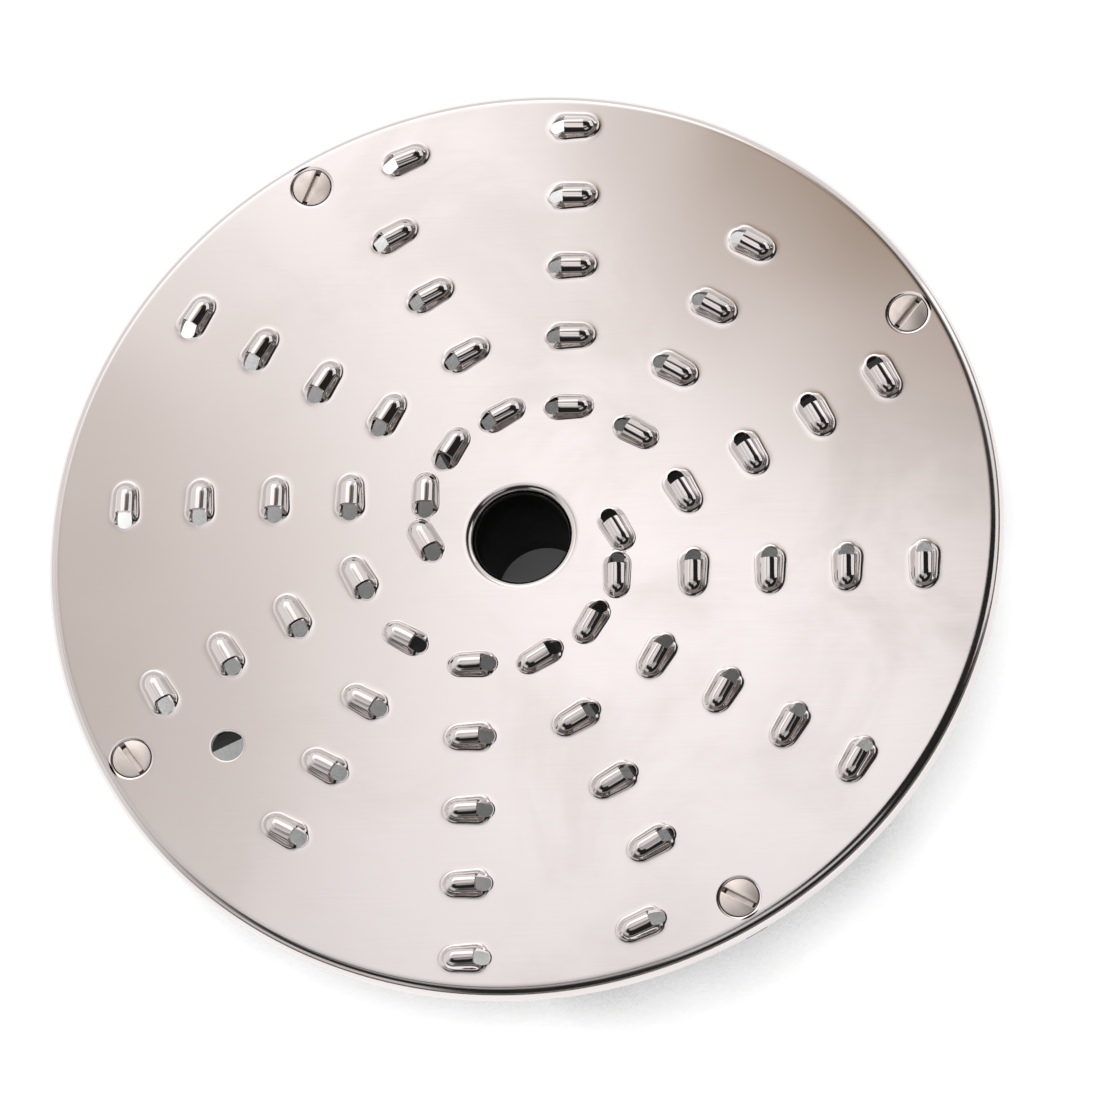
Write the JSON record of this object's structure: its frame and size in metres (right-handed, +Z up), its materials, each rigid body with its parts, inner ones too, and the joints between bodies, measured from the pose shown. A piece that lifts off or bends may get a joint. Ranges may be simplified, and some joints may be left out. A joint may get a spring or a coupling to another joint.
{
  "type": "vegetable cutter grating disc",
  "caption": "Round steel grating disc with rows of raised teeth, screwed to a plastic support with a hub and arms.",
  "frame": {"origin": "on the bore's axis, level with the lower end of the hub", "axes": "+Z up along the bore's axis, out through the teeth; +Y along the row of teeth that points away in the picture; +X to its right"},
  "size_m": [0.19, 0.19, 0.0343],
  "materials": {
    "plate_steel": "satin polished",
    "support_plastic": "matt black",
    "screw_steel": "turned, bright"
  },
  "bodies": {
    "root": {"grating_plate": "plate_steel", "disc_support": "support_plastic", "plate_screws": "screw_steel"}
  },
  "joints": []
}
